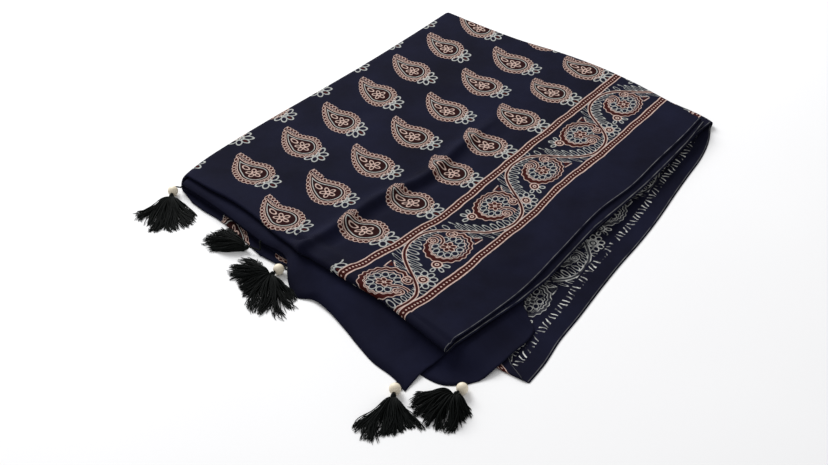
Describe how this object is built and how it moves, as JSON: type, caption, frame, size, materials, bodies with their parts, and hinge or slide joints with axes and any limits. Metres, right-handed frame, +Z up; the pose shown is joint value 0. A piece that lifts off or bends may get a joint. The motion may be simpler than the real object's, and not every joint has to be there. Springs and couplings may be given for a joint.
{
  "type": "folded block-printed ajrakh cloth with tassels",
  "caption": "Folded dark blue printed cotton shawl with a vine border, and beaded thread tassels at its ends.",
  "frame": {"origin": "on the surface that the folded cloth lies on, under the middle of the part's bounding box", "axes": "+Z up through the layers, +Y along the folded cloth's length, away from the tassels, +X across the cloth, from the last crease to the selvedges"},
  "size_m": [0.5776, 0.7638, 0.028],
  "materials": {
    "cloth": "matt",
    "bead": "satin",
    "tassel": "matt"
  },
  "bodies": {
    "root": {"cloth": "cloth", "bead_1": "bead", "bead_3": "bead", "bead_4": "bead", "bead_5": "bead", "tassel_1": "tassel", "tassel_2": "tassel", "tassel_3": "tassel", "tassel_4": "tassel", "tassel_5": "tassel"}
  },
  "joints": []
}
